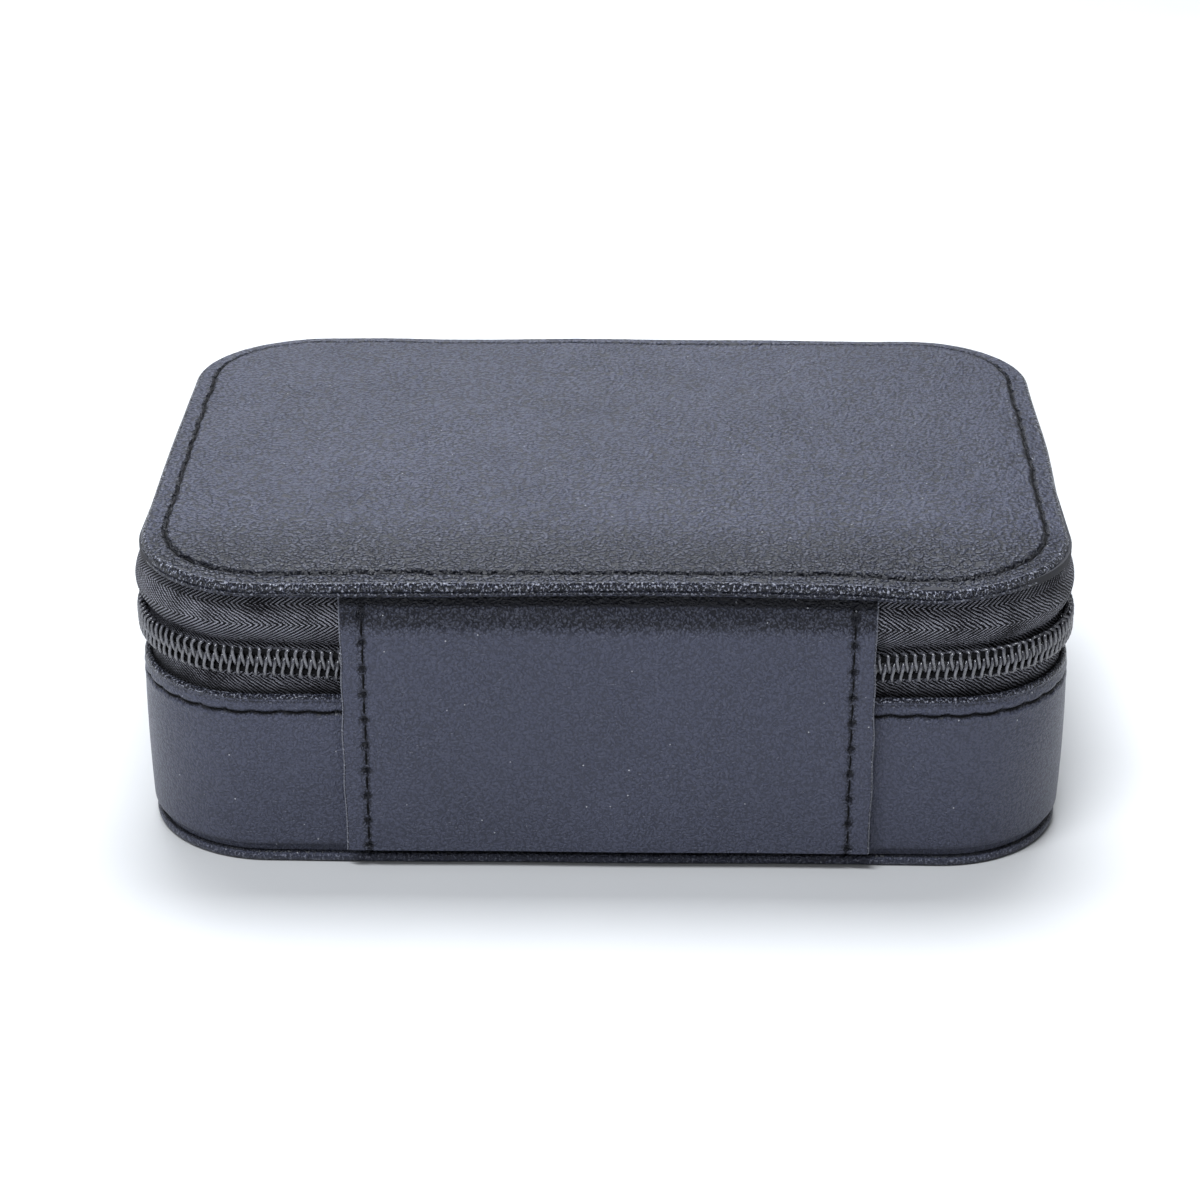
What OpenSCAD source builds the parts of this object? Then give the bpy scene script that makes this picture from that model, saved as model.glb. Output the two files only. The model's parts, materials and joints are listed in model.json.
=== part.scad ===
// Zip-round jewellery case: a stiff base box and a flat padded lid, joined by a leather
// spine panel and closed by a coil zip with two sliders that meet opposite the spine.
// The spine faces -Y, the sliders face +Y, and the case stands on z = 0.

/* [Case] */
// Width of the base over its leather
case_w = 160; // [140:1:200]
// Depth of the base over its leather, without the spine panel
case_d = 114.4; // [108:0.2:150]
// Height of the closed case
case_h = 54.6; // [50:0.2:60]
// Corner radius of the base in plan
corner_r = 22.5; // [15:0.5:30]

/* [Lid] */
// Depth of the turned leather edge of the lid
lid_edge = 2.8; // [2.8:0.1:4]
// How far the lid's edge stands out past the base at the sides
lid_overhang = 0.3; // [0:0.1:1]
// Distance of the lid's stitch line from its edge
lid_stitch = 4; // [3:0.5:6]

/* [Base] */
// Height of the leather rim of the base
rim_z = 32.3; // [30:0.1:33]
// Distance of the rim's stitch line from its top edge
rim_stitch = 3.2; // [2.5:0.1:4]
// Thickness of one layer of leather
leather = 0.9; // [0.7:0.1:0.9]
// Thickness of the board in the walls
board = 2; // [1.5:0.1:2]
// Thickness of the velvet lining
lining = 0.55; // [0.4:0.05:0.6]

/* [Zip] */
// Height of the middle of the zip chain, where lid and base part
zip_z = 38.9; // [38.6:0.1:40]
// Width of the closed chain over both coils
chain_w = 5.4; // [5:0.1:5.6]
// Thickness of a coil
coil_t = 2.35; // [2:0.05:2.4]
// Length of a slider
slider_l = 9; // [8:0.5:10]

/* [Spine] */
// Width of the leather spine panel
spine_w = 89; // [84:1:96]
// How far the spine panel is sewn off the middle of the case
spine_x = 0.9; // [-1:0.1:1]

/* [Inside] */
// Number of ring rolls
roll_count = 8; // [4:1:8]
// Position of the wall beside the ring rolls, across the case
partition_x = 17; // [10:1:30]
// Position of the long divider, from the middle of the case
divider_y = 8; // [-20:1:20]
// Position of the short divider, across the case
divider_x = -29; // [-40:1:-20]
// Width of the mirror
mirror_w = 104; // [80:1:110]
// Height of the mirror
mirror_d = 64; // [50:1:70]

/* [Hidden] */
$fn = 64;
fit = 0.05;                       // gap between neighbouring layers
card = 1.6;                       // thickness of partition and dividers

// Layers of the base wall, as distances in from the outline of the base
hem = 1.2;                        // folded rim of the leather
tape_out = hem + fit;
tape_t = 0.7;
tape_in = tape_out + tape_t;
board_out = tape_in + fit;
board_in = board_out + board;
cavity = board_in + fit + lining; // inside face of the lining

// Heights, from the table up
bottom_h = 2.6;                   // leather-wrapped bottom panel
bottom_inset = 0.3;               // it sits in from the walls
floor_top = 3.8;                  // top of the floor board
cover_z = 3.6;                    // lower edge of the side leather, over a slit
spine_low = 3.9;
wall_top = 33.7;
lining_floor = floor_top + fit + lining;
hem_z = rim_z - 5;
tape_low = hem_z - 2.3;
lid_under = case_h - lid_edge;
inner_board_z = lid_under - 2.4;
inner_lining_z = inner_board_z - 0.7;

// Zip chain
coil_gap = 0.5;                   // half the gap between the two coils
coil_h = chain_w / 2 - coil_gap;
coil_out = tape_out - fit - coil_t;
tape_end_x = 38;
coil_end_x = 41;

// Lid outline
lid_w = case_w + 2 * lid_overhang;
spine_in = case_d / 2 + 1.2;      // inner face of the spine panel
spine_out = spine_in + leather + fit;
lid_back = spine_out + 0.2;
lid_front = case_d / 2 + 0.7;
lid_d = lid_back + lid_front;
lid_shift = (lid_front - lid_back) / 2;

// Hinge line of the spine
hinge_y = -(spine_out + 0.1);

// Ring rolls
cavity_half_d = case_d / 2 - cavity;
roll_pitch = 2 * (cavity_half_d - 0.2) / roll_count;
roll_r = min(6.6, roll_pitch / 2 - 0.05);
roll_x = partition_x + card + 0.3;
bed_top = 14;
roll_z = bed_top + roll_r - 1.3;

// Slider, seen from the front of the case
tape_y = case_d / 2 - tape_in;                  // inside face of the tape at the front
chain_y = case_d / 2 - coil_out;                // outside face of the coils at the front
inner_plate = 0.85;
outer_plate = 1.2;
plate_gap = 0.3;
bar_r = 0.6;
eye_r = bar_r + 0.08;                           // inside radius of the pull's eye
eye_wire = 0.45;
plate_y = chain_y + plate_gap + outer_plate;    // outside face of the outer plate
bar_y = plate_y + eye_r + 2 * eye_wire + 0.17;
slider_x = 0.6;                                 // nose of a slider, from the middle
bar_mid = slider_x + slider_l / 2;
pull_l = 24;

leather_colour = "#3b3e4b";
velvet_colour = "#23252d";
board_colour = "#6b6156";

// ---- shared shapes ----

module rounded(w, d, r) {
    square([w - 2 * r, d], center = true);
    square([w, d - 2 * r], center = true);
    for (sx = [-1, 1], sy = [-1, 1])
        translate([sx * (w / 2 - r), sy * (d / 2 - r)]) circle(r);
}

module base_outline(inset) {
    rounded(case_w - 2 * inset, case_d - 2 * inset, corner_r - inset);
}

module lid_outline(inset) {
    translate([0, lid_shift]) rounded(lid_w - 2 * inset, lid_d - 2 * inset, corner_r - inset);
}

module slab(z0, z1) {
    translate([0, 0, z0]) linear_extrude(z1 - z0) children();
}

// A wall that follows the base outline, from one distance in to another
module base_band(outer, inner, z0, z1) {
    slab(z0, z1) difference() {
        base_outline(outer);
        base_outline(inner);
    }
}

module lid_band(outer, inner, z0, z1) {
    slab(z0, z1) difference() {
        lid_outline(outer);
        lid_outline(inner);
    }
}

// A block from corner to corner
module block(low, high) {
    translate(low) cube(high - low);
}

// Removes the stretch behind the spine panel, where the zip is missing
module open_at_spine(half_width) {
    difference() {
        children();
        block([-half_width, -case_d, 0], [half_width, -case_d / 4, case_h]);
    }
}

// A strip of sheet on the spine side, centred off the middle of the case by a shift
module spine_strip(half_width, y_out, y_in, z0, z1, shift = 0) {
    block([shift - half_width, -y_out, z0], [shift + half_width, -y_in, z1]);
}

// ---- base ----

module base_bottom_cover() {
    color(leather_colour) difference() {
        slab(0, bottom_h) base_outline(bottom_inset);
        slab(leather, bottom_h + 1) base_outline(bottom_inset + leather);
    }
}

module base_floor_board() {
    color(board_colour) slab(leather, floor_top) base_outline(bottom_inset + leather + fit);
}

module base_wall_board() {
    color(board_colour) base_band(board_out, board_in, floor_top, wall_top);
}

module base_wall_foam() {
    color("#c9c7bd") base_band(leather + fit, board_out - fit, floor_top + fit, tape_low - 0.5);
}

module base_side_cover() {
    groove_z = rim_z - rim_stitch;
    color(leather_colour) difference() {
        union() {
            base_band(0, leather, cover_z, rim_z);
            base_band(leather / 2, hem, hem_z, rim_z);
        }
        base_band(-1, 0.35, groove_z - 0.35, groove_z + 0.35);
    }
}

module base_rim_stitching() {
    groove_z = rim_z - rim_stitch;
    color("#15161c") base_band(0.03, 0.32, groove_z - 0.25, groove_z + 0.25);
}

module base_zip_tape() {
    color("#26272e") open_at_spine(tape_end_x)
        base_band(tape_out, tape_in, tape_low, zip_z - coil_gap);
}

module base_zip_coil() {
    color("#1b1c22") open_at_spine(coil_end_x)
        base_band(coil_out, tape_out - fit, zip_z - coil_gap - coil_h, zip_z - coil_gap);
}

module base_wall_lining() {
    cap_z = wall_top + fit;
    color(velvet_colour) union() {
        base_band(board_in + fit, cavity, lining_floor + fit, cap_z + lining);
        base_band(board_out, cavity, cap_z, cap_z + lining);
    }
}

module base_floor_lining() {
    color(velvet_colour) slab(floor_top + fit, lining_floor) base_outline(board_in + fit);
}

// ---- spine ----

module spine_backing() {
    color(board_colour)
        spine_strip(spine_w / 2 - 2.5, spine_in - fit, case_d / 2 + fit, 4.6, rim_z - 0.3,
                    spine_x);
}

module spine_panel_lower() {
    color(leather_colour)
        spine_strip(spine_w / 2, spine_in + leather, spine_in, spine_low, zip_z - 0.1, spine_x);
}

module spine_panel_upper() {
    color(leather_colour)
        spine_strip(spine_w / 2, spine_in + leather, spine_in, zip_z + 0.1, lid_under - 0.1,
                    spine_x);
}

module spine_stitching() {
    thread_x = spine_w / 2 - 3.8;
    color("#15161c") for (side = [-1, 1])
        translate([spine_x + side * thread_x, -(spine_in + leather), 0])
            block([-0.25, -0.05, spine_low + 1], [0.25, 0, zip_z - 1]);
}

module spine_lining_lower() {
    color(velvet_colour)
        spine_strip(tape_end_x - 0.4, case_d / 2 - tape_out, case_d / 2 - tape_out - 0.6,
                    tape_low, zip_z - 0.1);
}

module spine_lining_upper() {
    color(velvet_colour)
        spine_strip(tape_end_x - 0.4, case_d / 2 - tape_out, case_d / 2 - tape_out - 0.6,
                    zip_z + 0.1, lid_under - 0.1);
}

// ---- inside of the base ----

module partition() {
    half = cavity_half_d - 0.1;
    color(velvet_colour)
        block([partition_x, -half, lining_floor + fit], [partition_x + card, half, 31.9]);
}

module long_divider() {
    color(velvet_colour)
        block([-(case_w / 2 - cavity - 0.2), divider_y - card / 2, lining_floor + fit],
              [partition_x - 0.1, divider_y + card / 2, 28]);
}

module short_divider() {
    color(velvet_colour)
        block([divider_x - card / 2, divider_y + card / 2 + 0.1, lining_floor + fit],
              [divider_x + card / 2, cavity_half_d - 0.1, 28]);
}

function roll_y(i) = (i - (roll_count + 1) / 2) * roll_pitch;

// The part of the cavity beside the partition
module roll_space(z0, z1) {
    intersection() {
        slab(z0, z1) base_outline(cavity + 0.1);
        block([roll_x, -case_d / 2, z0], [case_w / 2, case_d / 2, z1]);
    }
}

module roll_cylinder(i, r) {
    translate([0, roll_y(i), roll_z]) rotate([0, 90, 0]) cylinder(r = r, h = case_w / 2);
}

module ring_roll(i) {
    color("#2d3039") intersection() {
        roll_cylinder(i, roll_r);
        roll_space(lining_floor, roll_z + roll_r + 1);
    }
}

module ring_roll_bed() {
    color(velvet_colour) difference() {
        roll_space(lining_floor + fit, bed_top);
        for (i = [1:roll_count]) roll_cylinder(i, roll_r + 0.1);
    }
}

// ---- lid ----

module lid_top_cover() {
    skin = lid_under + lid_edge - leather;
    color(leather_colour) difference() {
        slab(lid_under, case_h) lid_outline(0);
        slab(lid_under - 1, skin) lid_outline(1);
        lid_band(lid_stitch - 0.35, lid_stitch + 0.35, case_h - 0.4, case_h + 1);
    }
}

module lid_stitching() {
    color("#15161c")
        lid_band(lid_stitch - 0.25, lid_stitch + 0.25, case_h - 0.37, case_h - 0.03);
}

module lid_board() {
    color(board_colour) slab(lid_under + fit, lid_under + 1.4) lid_outline(1 + fit);
}

module lid_foam() {
    color("#c9c7bd")
        slab(lid_under + 1.4 + fit, case_h - leather - fit) lid_outline(lid_stitch + 2.5);
}

module lid_zip_tape() {
    color("#26272e") open_at_spine(tape_end_x) union() {
        base_band(tape_out, tape_in, zip_z + coil_gap, lid_under - fit);
        base_band(tape_out, lid_stitch + 3, lid_under - fit - tape_t, lid_under - fit);
    }
}

module lid_zip_coil() {
    color("#1b1c22") open_at_spine(coil_end_x)
        base_band(coil_out, tape_out - fit, zip_z + coil_gap, zip_z + coil_gap + coil_h);
}

module lid_inner_board() {
    color(board_colour) slab(inner_board_z, lid_under - fit - tape_t - fit) base_outline(3.6 + fit);
}

module lid_inner_lining() {
    top = lid_under - fit - tape_t - fit;
    color(velvet_colour) difference() {
        slab(inner_lining_z, top) base_outline(3);
        slab(inner_board_z - fit, top + 1) base_outline(3.6);
    }
}

module mirror_frame() {
    front = inner_lining_z - 2.4;
    color(leather_colour) difference() {
        slab(front, inner_lining_z - fit) rounded(mirror_w + 10, mirror_d + 10, 8);
        slab(front - 1, case_h) rounded(mirror_w - 6, mirror_d - 6, 3);
        slab(front + 0.8, case_h) rounded(mirror_w + 0.4, mirror_d + 0.4, 5.2);
    }
}

module mirror_glass() {
    front = inner_lining_z - 2.4 + 0.8 + fit;
    color("#c8d2da") slab(front, inner_lining_z - 2 * fit) rounded(mirror_w, mirror_d, 5);
}

// ---- zip sliders ----

// The slider at +X: two plates joined by a post that runs between the coils, a lower lip
// that holds the base coil, and a bridge for the pull
module slider() {
    nose = slider_x;
    tail = slider_x + slider_l;
    half = chain_w / 2 + 1.3;
    in_face = tape_y - plate_gap;
    out_face = chain_y + plate_gap;
    color("#3c3d42") union() {
        block([nose, in_face - inner_plate, zip_z - half + 0.4],
              [tail, in_face, zip_z + half - 0.4]);
        block([nose, out_face, zip_z - half], [tail, plate_y, zip_z + half]);
        block([nose + 0.6, in_face - inner_plate, zip_z - 0.35],
              [nose + 2.8, plate_y, zip_z + 0.35]);
        block([nose, out_face - 2.1, zip_z - half], [tail, plate_y, zip_z - half + 0.95]);
        for (x = [nose + 0.6, tail - 1.8])
            block([x, plate_y - 0.3, zip_z - 0.8], [x + 1.2, bar_y + bar_r, zip_z + 0.8]);
        translate([nose + 1, bar_y, zip_z]) rotate([0, 90, 0])
            cylinder(r = bar_r, h = slider_l - 2);
    }
}

// The pull of the slider at +X: an eye round the bridge and a flat slotted blade
module pull() {
    blade_t = 1.2;
    tip_r = 3.3;
    slot_r = 1.5;
    low_z = zip_z - pull_l + tip_r;
    color("#3c3d42") translate([bar_mid, bar_y, 0]) union() {
        translate([0, 0, zip_z]) rotate([0, 90, 0]) rotate_extrude()
            translate([eye_r + eye_wire, 0]) circle(eye_wire, $fn = 24);
        difference() {
            translate([0, blade_t / 2, 0]) rotate([90, 0, 0]) linear_extrude(blade_t)
                union() {
                    polygon([[-1.2, zip_z - eye_r - eye_wire], [1.2, zip_z - eye_r - eye_wire],
                             [tip_r, low_z], [-tip_r, low_z]]);
                    translate([0, low_z]) circle(tip_r);
                }
            translate([0, blade_t, 0]) rotate([90, 0, 0]) linear_extrude(2 * blade_t)
                union() {
                    translate([0, low_z]) circle(slot_r);
                    translate([0, low_z + 7]) circle(slot_r * 0.8);
                    translate([-slot_r * 0.8, low_z]) square([slot_r * 1.6, 7]);
                }
            translate([-2, 0, zip_z]) rotate([0, 90, 0]) cylinder(r = eye_r, h = 4);
        }
    }
}

base_bottom_cover();
base_floor_board();
base_wall_board();
base_wall_foam();
base_side_cover();
base_rim_stitching();
base_zip_tape();
base_zip_coil();
base_wall_lining();
base_floor_lining();
spine_backing();
spine_panel_lower();
spine_stitching();
spine_lining_lower();
partition();
long_divider();
short_divider();
ring_roll_bed();
for (i = [1:roll_count])
    ring_roll(i);
lid_top_cover();
lid_stitching();
lid_foam();
lid_board();
lid_zip_tape();
lid_zip_coil();
lid_inner_board();
lid_inner_lining();
mirror_frame();
mirror_glass();
spine_panel_upper();
spine_lining_upper();
mirror([1, 0, 0]) slider();  // slider_left
slider();  // slider_right
mirror([1, 0, 0]) pull();  // pull_left
pull();  // pull_right
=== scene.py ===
import json
import math

import bmesh
import bpy
import numpy as np
from mathutils import Matrix, Vector


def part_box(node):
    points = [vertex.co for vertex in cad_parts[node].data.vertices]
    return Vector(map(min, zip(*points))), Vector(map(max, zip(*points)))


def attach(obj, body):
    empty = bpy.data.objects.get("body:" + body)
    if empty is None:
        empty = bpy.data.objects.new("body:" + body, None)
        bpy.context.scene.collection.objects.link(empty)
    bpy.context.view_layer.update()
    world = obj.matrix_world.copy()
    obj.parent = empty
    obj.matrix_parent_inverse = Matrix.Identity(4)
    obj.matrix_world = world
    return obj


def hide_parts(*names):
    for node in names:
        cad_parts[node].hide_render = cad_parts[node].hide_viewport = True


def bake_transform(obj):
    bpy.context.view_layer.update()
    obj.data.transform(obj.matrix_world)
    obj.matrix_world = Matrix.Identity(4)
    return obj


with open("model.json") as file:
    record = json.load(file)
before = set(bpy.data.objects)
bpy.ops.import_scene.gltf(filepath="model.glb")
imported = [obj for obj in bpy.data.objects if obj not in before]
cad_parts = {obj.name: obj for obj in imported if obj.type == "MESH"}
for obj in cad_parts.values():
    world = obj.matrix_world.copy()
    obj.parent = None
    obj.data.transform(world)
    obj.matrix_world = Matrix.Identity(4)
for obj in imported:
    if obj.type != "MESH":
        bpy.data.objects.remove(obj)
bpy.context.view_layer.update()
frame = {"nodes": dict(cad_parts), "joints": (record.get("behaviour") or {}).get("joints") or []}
mm = 0.001

print("frame loaded, taking the main sizes from it")
joints = {j["name"]: j for j in frame["joints"]}
hingeY, hingeZ = joints["lid_hinge"]["pos_m"][1:]
sideLow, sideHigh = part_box("base_side_cover")
lidLow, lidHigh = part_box("lid_top_cover")
tapeLow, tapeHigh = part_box("base_zip_tape")
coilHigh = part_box("base_zip_coil")[1]
spineLow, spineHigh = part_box("spine_panel_lower")
spineMiddle, spineHalf = (spineLow.x + spineHigh.x) / 2, (spineHigh.x - spineLow.x) / 2
case = {"halfW": sideHigh.x, "halfD": sideHigh.y, "corner": 22.5 * mm, "shiftY": 0.0}
lidShape = dict(case, halfW=lidHigh.x, halfD=(lidHigh.y - lidLow.y) / 2,
                shiftY=(lidHigh.y + lidLow.y) / 2)


def outlineKnots(shape):
    # distances at which a rounded rectangle changes between straight and corner
    w = shape["halfW"] - shape["corner"]
    d = 2 * (shape["halfD"] - shape["corner"])
    q = math.pi * shape["corner"] / 2
    return np.cumsum([0, w, q, d, q, 2 * w, q, d, q, w]), w, d / 2


def outlineLength(shape):
    return outlineKnots(shape)[0][-1]


def around(shape, step):
    # distances about one step apart all round an outline, and its length
    length = outlineLength(shape)
    return np.linspace(0, length, int(length / step), endpoint=False), length


def insideCase(high):
    # an outline parallel to the case's, as large as a node whose box ends at high
    return dict(case, halfW=high.x, halfD=high.y, corner=case["corner"] - (case["halfW"] - high.x))


def outlineAt(shape, s):
    # the corner centre moves in straight runs and the normal turns only on the corners,
    # so the point is centre + radius * normal; s starts mid spine side and runs to +X
    knots, w, e = outlineKnots(shape)
    s = np.mod(s, knots[-1])
    cx = np.interp(s, knots, [0, w, w, w, w, -w, -w, -w, -w, 0])
    cy = np.interp(s, knots, [-e, -e, -e, e, e, e, e, -e, -e, -e]) + shape["shiftY"]
    turn = np.interp(s, knots, np.radians([-90, -90, 0, 0, 90, 90, 180, 180, 270, 270]))
    normal = np.stack([np.cos(turn), np.sin(turn)], -1)
    return np.stack([cx, cy], -1) + shape["corner"] * normal, normal


def carry(shape, s, inset, height):
    # a profile of (inset, height) pairs set square to the outline at every distance s;
    # either may be one row for all of s or its own row at each s
    xy, normal = outlineAt(shape, s)
    inset = np.broadcast_to(inset, (len(s), np.shape(inset)[-1]))
    height = np.broadcast_to(height, inset.shape)
    flat = xy[:, None, :] - normal[:, None, :] * inset[..., None]
    return np.concatenate([flat, height[..., None]], -1)


def closeIn(points, middle, steps):
    # further columns that run level from the last one to a single middle point
    t = np.linspace(0, 1, steps + 1)[1:]
    last = points[:, -1:]
    more = last + (np.array(middle) - last) * t[None, :, None]
    more[..., 2] = middle[2]
    return np.concatenate([points, more], 1)


def openOut(points, middle, steps):
    # columns in front that run straight from a single middle point to the first one
    t = np.linspace(0, 1, steps + 1)[:-1]
    more = np.array(middle) + (points[:, :1] - np.array(middle)) * t[None, :, None]
    return np.concatenate([more, points], 1)


def arc(centreU, centreZ, radius, start, end, count):
    # points on a circle in the profile plane, angles in degrees, u grows inwards
    a = np.radians(np.linspace(start, end, count))
    return np.stack([centreU + radius * np.cos(a), centreZ + radius * np.sin(a)], -1)


def bell(away, width):
    # 1 where away is 0, fading on both sides of it
    return np.exp(-((away / width) ** 2))


def ramp(value, start, end):
    # how far a value has gone from start to end, held between 0 and 1
    return np.clip((value - start) / (end - start), 0, 1)


def squared(wave, power):
    # a sine or cosine with fuller sides, which makes a circle squarer
    return np.sign(wave) * np.abs(wave) ** power


def waves(s, length, amount, seed, lowest=3, highest=14):
    # a smooth closed wander: sines of whole-number frequency with seeded phases, fading with pitch
    rng = np.random.default_rng(seed)
    k = np.arange(lowest, highest)
    phase = rng.uniform(0, 2 * np.pi, len(k))
    weight = rng.uniform(0.4, 1, len(k)) / np.sqrt(k)
    total = (weight * np.sin(2 * np.pi * np.multiply.outer(s, k) / length + phase)).sum(-1)
    return amount * total / np.sqrt((weight ** 2).sum() / 2) / 1.6


def quads(n, m, loopAlong, loopAcross):
    # corner indices of a grid's faces, as unwrapped row and column numbers
    i, j = np.meshgrid(np.arange(n if loopAlong else n - 1),
                       np.arange(m if loopAcross else m - 1), indexing="ij")
    i, j = i.ravel(), j.ravel()
    return np.stack([i, i + 1, i + 1, i], 1), np.stack([j, j, j + 1, j + 1], 1)


def addObject(name, data):
    thing = bpy.data.objects.new(name, data)
    bpy.context.scene.collection.objects.link(thing)
    return thing


def shade(name, mesh, sharp):
    # smooth shading that keeps edges past the sharp angle
    mesh.polygons.foreach_set("use_smooth", np.ones(len(mesh.polygons), bool))
    mesh.set_sharp_from_angle(angle=math.radians(sharp))
    return addObject(name, mesh)


def surface(name, points, loopAlong=True, loopAcross=True, uv=None, marks=None, caps=False,
            sharp=50):
    # a mesh from a grid of points, or from many equal grids stacked in front; its poles and
    # seams are merged and its faces turned outwards
    grids = points if points.ndim == 4 else points[None]
    copies, n, m = grids.shape[:3]
    rows, cols = quads(n, m, loopAlong, loopAcross)
    one = (rows % n) * m + (cols % m)
    faces = (one[None] + (np.arange(copies) * n * m)[:, None, None]).reshape(-1, 4).tolist()
    if caps:
        for c in range(copies):
            start = c * n * m
            faces += [list(range(start + m - 1, start - 1, -1)),
                      list(range(start + (n - 1) * m, start + n * m))]
    mesh = bpy.data.meshes.new(name)
    mesh.from_pydata(grids.reshape(-1, 3), [], faces)
    if uv is not None:
        along, across = uv
        flat = np.stack([along[rows], across[cols]], -1).reshape(-1, 2)
        flat = np.concatenate([np.tile(flat, (copies, 1)), np.zeros((copies * 2 * m * caps, 2))])
        mesh.uv_layers.new(name="UVMap").data.foreach_set("uv", flat.ravel())
    if marks is not None:
        layer = mesh.attributes.new("wearAndPaintedLight", "FLOAT", "POINT")
        layer.data.foreach_set("value", np.broadcast_to(marks, grids.shape[:3]).ravel())
    work = bmesh.new()
    work.from_mesh(mesh)
    bmesh.ops.remove_doubles(work, verts=work.verts, dist=2e-7)
    bmesh.ops.dissolve_degenerate(work, edges=work.edges, dist=1e-7)
    bmesh.ops.recalc_face_normals(work, faces=work.faces)
    work.to_mesh(mesh)
    work.free()
    return shade(name, mesh, sharp)


def tube(path, radius, side, sides=8):
    # circles set square to a path; side is a direction that the path never takes
    path = np.asarray(path, float)
    along = np.gradient(path, axis=-2)
    along /= np.linalg.norm(along, axis=-1, keepdims=True) + 1e-12
    across = np.cross(along, np.broadcast_to(side, path.shape))
    across /= np.linalg.norm(across, axis=-1, keepdims=True) + 1e-12
    third = np.cross(along, across)
    turn = 2 * np.pi * np.arange(sides) / sides
    ring = np.cos(turn)[:, None] * across[..., None, :] + np.sin(turn)[:, None] * third[..., None, :]
    size = np.broadcast_to(radius, path.shape[:-1])[..., None, None]
    return path[..., None, :] + size * ring


def cover(piece, material):
    piece.data.materials.clear()
    piece.data.materials.append(material)


def place(piece, body, slot, material, *nodes):
    # a piece rides on one body, or on none where it lies between two
    cover(piece, material)
    if body:
        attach(piece, body)
    if nodes:
        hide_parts(*nodes)
    return piece


def bendAtHinge(piece):
    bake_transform(piece)


class Wire:
    # one socket of a node tree; arithmetic on it adds Math nodes
    def __init__(self, recipe, socket):
        self.recipe, self.socket = recipe, socket

    def math(self, operation, *values):
        return self.recipe.add("Math", {"operation": operation}, dict(enumerate(values)))

    def __add__(self, other): return self.math("ADD", self, other)
    def __radd__(self, other): return self.math("ADD", other, self)
    def __sub__(self, other): return self.math("SUBTRACT", self, other)
    def __rsub__(self, other): return self.math("SUBTRACT", other, self)
    def __mul__(self, other): return self.math("MULTIPLY", self, other)
    def __rmul__(self, other): return self.math("MULTIPLY", other, self)

    def sine(self): return self.math("SINE", self)
    def size(self): return self.math("ABSOLUTE", self)
    def above(self, level): return self.math("GREATER_THAN", self, level)
    def fold(self, width): return self.math("PINGPONG", self, width)


class Recipe:
    # a material's node tree and the ways to add to it
    def __init__(self, name):
        self.material = bpy.data.materials.new(name)
        self.material.use_nodes = True
        self.tree = self.material.node_tree
        self.tree.nodes.clear()

    def add(self, kind, settings=None, values=None, out=0):
        node = self.tree.nodes.new("ShaderNode" + kind)
        for key, value in (settings or {}).items():
            setattr(node, key, value)
        for key, value in (values or {}).items():
            if isinstance(value, Wire):
                self.tree.links.new(value.socket, node.inputs[key])
            else:
                node.inputs[key].default_value = value
        return Wire(self, node.outputs[out]) if len(node.outputs) else None

    def objectPoint(self):
        return self.add("TexCoord", out="Object")

    def noise(self, point, scale, detail=2.0, rough=0.5):
        return self.add("TexNoise", None, {"Vector": point, "Scale": scale, "Detail": detail,
                                           "Roughness": rough})

    def cells(self, point, scale, out=0):
        # distance from the nearest cell's middle, or with out=1 a random colour for each cell
        return self.add("TexVoronoi", {"feature": "F1"}, {"Vector": point, "Scale": scale}, out)

    def axis(self, vector, out):
        return self.add("SeparateXYZ", None, {0: vector}, out)

    def range(self, value, low, high, newLow=0.0, newHigh=1.0):
        return self.add("MapRange", {"clamp": True}, {0: value, 1: low, 2: high, 3: newLow, 4: newHigh})

    def mix(self, share, a, b):
        return self.add("Mix", {"data_type": "RGBA"}, {0: share, 6: a, 7: b}, out=2)

    def finish(self, bump, bumpDepth, constants, **changing):
        # the Principled shader: constants sit on its own sockets, what changes is linked
        values = dict(constants)
        values.update({key.replace("_", " "): v for key, v in changing.items()})
        if bump is not None:
            values["Normal"] = self.add("Bump", None, {"Strength": 1.0, "Distance": bumpDepth,
                                                       "Height": bump})
        shader = self.add("BsdfPrincipled", None, values)
        self.add("OutputMaterial", None, {"Surface": shader})
        return self.material


def rgb(r, g, b):
    # a colour given in 0 to 255 display values, made linear
    c = np.array([r, g, b]) / 255
    linear = np.where(c <= 0.04045, c / 12.92, ((c + 0.055) / 1.055) ** 2.4)
    return (*linear.tolist(), 1.0)


# pit is the colour of the grain's pits and also of painted shade; the highlight colour gives painted
# highlights
leatherLook = {"colour": rgb(73, 76, 94), "shade": rgb(69, 72, 89), "pit": rgb(11, 13, 24),
               "paintedHighlightColour": rgb(165, 167, 180), "dust": rgb(205, 206, 212), "pebble": 1800, "dustScale": 400,
               "dustSize": 0.055, "dustShare": 0.45, "depth": 0.3 * mm, "roughness": 0.36}


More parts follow.
